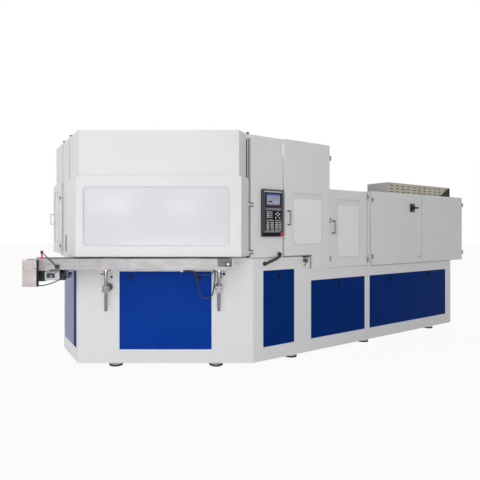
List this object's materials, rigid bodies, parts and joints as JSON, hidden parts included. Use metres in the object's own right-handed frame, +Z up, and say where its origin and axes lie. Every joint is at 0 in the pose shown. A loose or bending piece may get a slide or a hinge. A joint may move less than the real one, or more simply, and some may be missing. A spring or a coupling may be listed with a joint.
{
  "type": "injection blow moulding machine",
  "caption": "Floor-standing injection blow moulding machine with a guarded three-station turret, moulds, barrel section, control panel, electrical cabinet and take-off conveyor.",
  "frame": {"origin": "on the floor, at the middle of the footprint", "axes": "+X along the injection axis from the turret to the screw drive, +Y from the operator side to the rear, +Z up"},
  "size_m": [5.9102, 2.6463, 2.358],
  "materials": {
    "white_paint": "satin",
    "blue_paint": "satin",
    "window": "clear",
    "steel": "brushed",
    "galvanised": "matte",
    "stainless_box": "brushed",
    "chrome": "polished",
    "black_plastic": "matte",
    "dark_plastic": "matte",
    "keypad": "matte",
    "screen": "gloss",
    "red_plastic": "gloss",
    "rubber": "matte",
    "cast": "satin",
    "motor": "satin",
    "mould_steel": "ground"
  },
  "bodies": {
    "machine": {"base_frame": "white_paint", "levelling_feet": "galvanised", "front_panel": "blue_paint", "left_panel": "blue_paint", "side_panel_narrow": "blue_paint", "side_panel_middle": "blue_paint", "side_panel_long": "blue_paint", "rear_panels": "blue_paint", "panel_locks": "black_plastic", "power_pack": "cast", "guard_frame": "white_paint", "corner_rods": "chrome", "front_upper_panel": "white_paint", "control_side_panel": "white_paint", "rear_covers": "white_paint", "front_latch": "black_plastic", "cabinet_body": "white_paint", "roof_vent_box": "stainless_box", "control_housing": "dark_plastic", "control_screen": "screen", "control_keypad": "keypad", "support_clamps": "steel", "control_conduit": "rubber", "air_fitting": "steel", "press_frames": "cast", "lower_moulds": "mould_steel"},
    "front_door_body": {"front_door": "white_paint", "front_window": "window"},
    "left_door_body": {"left_door": "white_paint", "left_window": "window"},
    "rear_door_body": {"rear_door": "white_paint", "rear_window": "window"},
    "side_door_body": {"side_door": "white_paint", "side_window": "window", "side_handle": "steel"},
    "barrel_door_body": {"barrel_door": "white_paint", "barrel_window": "window", "barrel_handle": "steel"},
    "cabinet_left_body": {"cabinet_door_left": "white_paint", "main_switch_plate": "black_plastic"},
    "cabinet_right_body": {"cabinet_door_right": "white_paint"},
    "switch_body": {"main_switch_knob": "black_plastic"},
    "stop_body": {"emergency_stop": "red_plastic"},
    "conveyor_body": {"conveyor_frame": "galvanised", "conveyor_belt": "rubber", "drive_guard": "galvanised", "gearmotor": "motor", "support_tubes": "chrome", "sensor_arm": "black_plastic", "conveyor_leads": "rubber"},
    "drive_roller_body": {"drive_roller": "steel"},
    "idler_roller_body": {"idler_roller": "steel"},
    "lift_body": {"turret_column": "steel"},
    "turret_body": {"turret_head": "mould_steel", "core_rods": "chrome"},
    "injection_clamp_body": {"injection_platen": "mould_steel"},
    "blow_clamp_body": {"blow_platen": "mould_steel"},
    "stripper_body": {"stripper_bar": "mould_steel"},
    "carriage_body": {"injection_carriage": "cast", "barrel": "mould_steel"}
  },
  "joints": [
    {"name": "front_door_hinge", "type": "hinge", "parent": "machine", "child": "front_door_body", "pos_m": [-0.96436, -1.21195, 1.35], "axis": [0, 0, 1], "range_deg": [0, 100]},
    {"name": "left_door_hinge", "type": "hinge", "parent": "machine", "child": "left_door_body", "pos_m": [-2.50841, 0.15605, 1.35], "axis": [0, 0, 1], "range_deg": [0, 110]},
    {"name": "rear_door_hinge", "type": "hinge", "parent": "machine", "child": "rear_door_body", "pos_m": [-0.96436, 1.23205, 1.35], "axis": [0, 0, 1], "range_deg": [-100, 0]},
    {"name": "side_door_hinge", "type": "hinge", "parent": "machine", "child": "side_door_body", "pos_m": [0.15964, -1.21995, 1.55], "axis": [0, 0, 1], "range_deg": [0, 105]},
    {"name": "barrel_door_hinge", "type": "hinge", "parent": "machine", "child": "barrel_door_body", "pos_m": [0.83764, -1.19895, 1.4], "axis": [0, 0, 1], "range_deg": [0, 85]},
    {"name": "cabinet_left_hinge", "type": "hinge", "parent": "machine", "child": "cabinet_left_body", "pos_m": [0.89864, -1.22195, 1.4], "axis": [0, 0, 1], "range_deg": [-90, 0]},
    {"name": "cabinet_right_hinge", "type": "hinge", "parent": "machine", "child": "cabinet_right_body", "pos_m": [2.94864, -1.22195, 1.4], "axis": [0, 0, 1], "range_deg": [0, 100]},
    {"name": "main_switch_turn", "type": "hinge", "parent": "cabinet_left_body", "child": "switch_body", "pos_m": [1.70864, -1.22995, 1.675], "axis": [0, -1, 0], "range_deg": [0, 90]},
    {"name": "emergency_stop_push", "type": "slide", "parent": "machine", "child": "stop_body", "axis": [0, 1, 0], "range_m": [0, 0.005]},
    {"name": "conveyor_height", "type": "slide", "parent": "machine", "child": "conveyor_body", "axis": [0, 0, 1], "range_m": [-0.1, 0]},
    {"name": "drive_roller_spin", "type": "hinge", "parent": "conveyor_body", "child": "drive_roller_body", "pos_m": [-2.80985, -0.26302, 1.06], "axis": [0.5, 0.866, 0], "continuous": true},
    {"name": "idler_roller_spin", "type": "hinge", "parent": "conveyor_body", "child": "idler_roller_body", "pos_m": [-1.22155, -1.18002, 1.06], "axis": [0.5, 0.866, 0], "continuous": true},
    {"name": "injection_clamp", "type": "slide", "parent": "machine", "child": "injection_clamp_body", "axis": [0, 0, 1], "range_m": [-0.09, 0]},
    {"name": "blow_clamp", "type": "slide", "parent": "machine", "child": "blow_clamp_body", "axis": [0, 0, 1], "range_m": [-0.09, 0]},
    {"name": "turret_lift", "type": "slide", "parent": "machine", "child": "lift_body", "axis": [0, 0, 1], "range_m": [-0.045, 0]},
    {"name": "turret_index", "type": "hinge", "parent": "lift_body", "child": "turret_body", "pos_m": [-1.24436, 0.01005, 1.295], "axis": [0, 0, 1], "range_deg": [0, 120]},
    {"name": "stripper_slide", "type": "slide", "parent": "machine", "child": "stripper_body", "axis": [-0.5, -0.866, 0], "range_m": [0, 0.14]},
    {"name": "carriage_slide", "type": "slide", "parent": "machine", "child": "carriage_body", "axis": [1, 0, 0], "range_m": [0, 0.25]}
  ],
  "couplings": [
    {"joint": "idler_roller_spin", "follows": "drive_roller_spin", "ratio": 1},
    {"joint": "blow_clamp", "follows": "injection_clamp", "ratio": 1},
    {"joint": "turret_lift", "follows": "injection_clamp", "ratio": 0.5}
  ]
}
